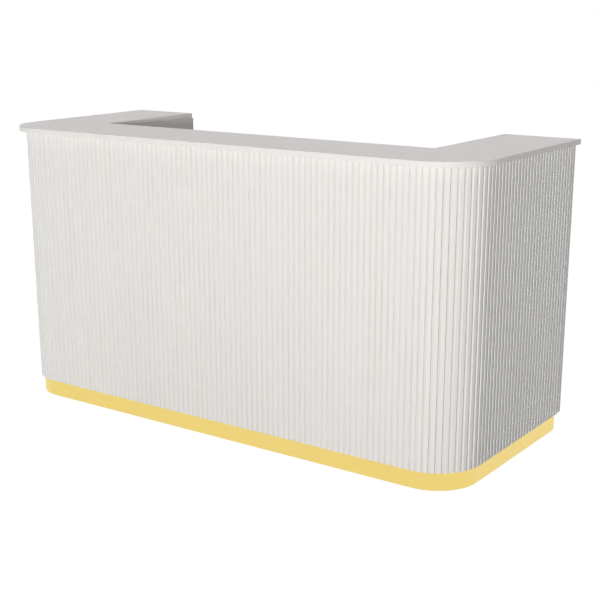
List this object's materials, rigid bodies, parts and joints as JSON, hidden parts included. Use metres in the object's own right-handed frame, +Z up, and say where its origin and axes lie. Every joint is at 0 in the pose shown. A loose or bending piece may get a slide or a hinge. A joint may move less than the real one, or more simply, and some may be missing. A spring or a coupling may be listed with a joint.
{
  "type": "checkout counter",
  "caption": "U-shaped checkout counter with rounded front corners, fluted shell, kick board, ledge, staff desk, drawers and a cupboard in each arm.",
  "frame": {"origin": "middle of the whole footprint, door knobs included, on the floor", "axes": "+X along the length to the right as a customer sees it, +Y from the customer side to the staff side, +Z up"},
  "size_m": [2, 0.8422, 1.05],
  "materials": {
    "laminate": "off-white melamine or lacquer on board, satin",
    "carcass": "white melamine on particle board, matt",
    "gold_laminate": "gold metallic laminate on board, satin",
    "gold_metal": "satin gold-tone metal",
    "zinc_steel": "zinc-plated steel",
    "plastic": "dark grey moulded plastic"
  },
  "bodies": {
    "counter": {"arm_bottom_left": "carcass", "arm_bottom_right": "carcass", "arm_inner_panel_left": "laminate", "arm_inner_panel_right": "laminate", "arm_plinth_left": "carcass", "arm_plinth_right": "carcass", "arm_shelf_left": "carcass", "arm_shelf_right": "carcass", "counter_top": "laminate", "cubby_divider_left": "carcass", "cubby_divider_right": "carcass", "desk_board": "laminate", "door_pivot_lower_left": "zinc_steel", "door_pivot_lower_right": "zinc_steel", "door_pivot_upper_left": "zinc_steel", "door_pivot_upper_right": "zinc_steel", "drawer_1_rail_left": "zinc_steel", "drawer_1_rail_right": "zinc_steel", "drawer_2_rail_left": "zinc_steel", "drawer_2_rail_right": "zinc_steel", "drawer_3_rail_left": "zinc_steel", "drawer_3_rail_right": "zinc_steel", "fluted_corner_panel_left": "laminate", "fluted_corner_panel_right": "laminate", "fluted_front_panel": "laminate", "fluted_side_panel_left": "laminate", "fluted_side_panel_right": "laminate", "front_board": "carcass", "grommet_sleeve": "plastic", "kick_corner_left": "gold_laminate", "kick_corner_right": "gold_laminate", "kick_front": "gold_laminate", "kick_side_left": "gold_laminate", "kick_side_right": "gold_laminate", "pedestal_back": "carcass", "pedestal_bottom": "carcass", "pedestal_plinth": "carcass", "pedestal_side": "carcass", "side_board_left": "carcass", "side_board_right": "carcass"},
    "door_left": {"cupboard_door_left": "laminate", "door_knob_left": "gold_metal"},
    "door_right": {"cupboard_door_right": "laminate", "door_knob_right": "gold_metal"},
    "drawer_1": {"drawer_1_front": "laminate", "drawer_1_box": "carcass", "drawer_1_knob": "gold_metal", "drawer_1_runner_left": "zinc_steel", "drawer_1_runner_right": "zinc_steel"},
    "drawer_2": {"drawer_2_front": "laminate", "drawer_2_box": "carcass", "drawer_2_knob": "gold_metal", "drawer_2_runner_left": "zinc_steel", "drawer_2_runner_right": "zinc_steel"},
    "drawer_3": {"drawer_3_front": "laminate", "drawer_3_box": "carcass", "drawer_3_knob": "gold_metal", "drawer_3_runner_left": "zinc_steel", "drawer_3_runner_right": "zinc_steel"},
    "grommet_cap": {"grommet_cap": "plastic"}
  },
  "joints": [
    {"name": "door_left_hinge", "type": "hinge", "parent": "counter", "child": "door_left", "pos_m": [-0.9685, 0.38985, 0.55], "axis": [0, 0, 1], "range_deg": [0, 110]},
    {"name": "door_right_hinge", "type": "hinge", "parent": "counter", "child": "door_right", "pos_m": [0.9685, 0.38985, 0.55], "axis": [0, 0, -1], "range_deg": [0, 110]},
    {"name": "drawer_1_slide", "type": "slide", "parent": "counter", "child": "drawer_1", "axis": [0, 1, 0], "range_m": [0, 0.32]},
    {"name": "drawer_2_slide", "type": "slide", "parent": "counter", "child": "drawer_2", "axis": [0, 1, 0], "range_m": [0, 0.32]},
    {"name": "drawer_3_slide", "type": "slide", "parent": "counter", "child": "drawer_3", "axis": [0, 1, 0], "range_m": [0, 0.32]},
    {"name": "grommet_cap_turn", "type": "hinge", "parent": "counter", "child": "grommet_cap", "pos_m": [-0.36, -0.04115, 0.75], "axis": [0, 0, 1], "continuous": true}
  ]
}
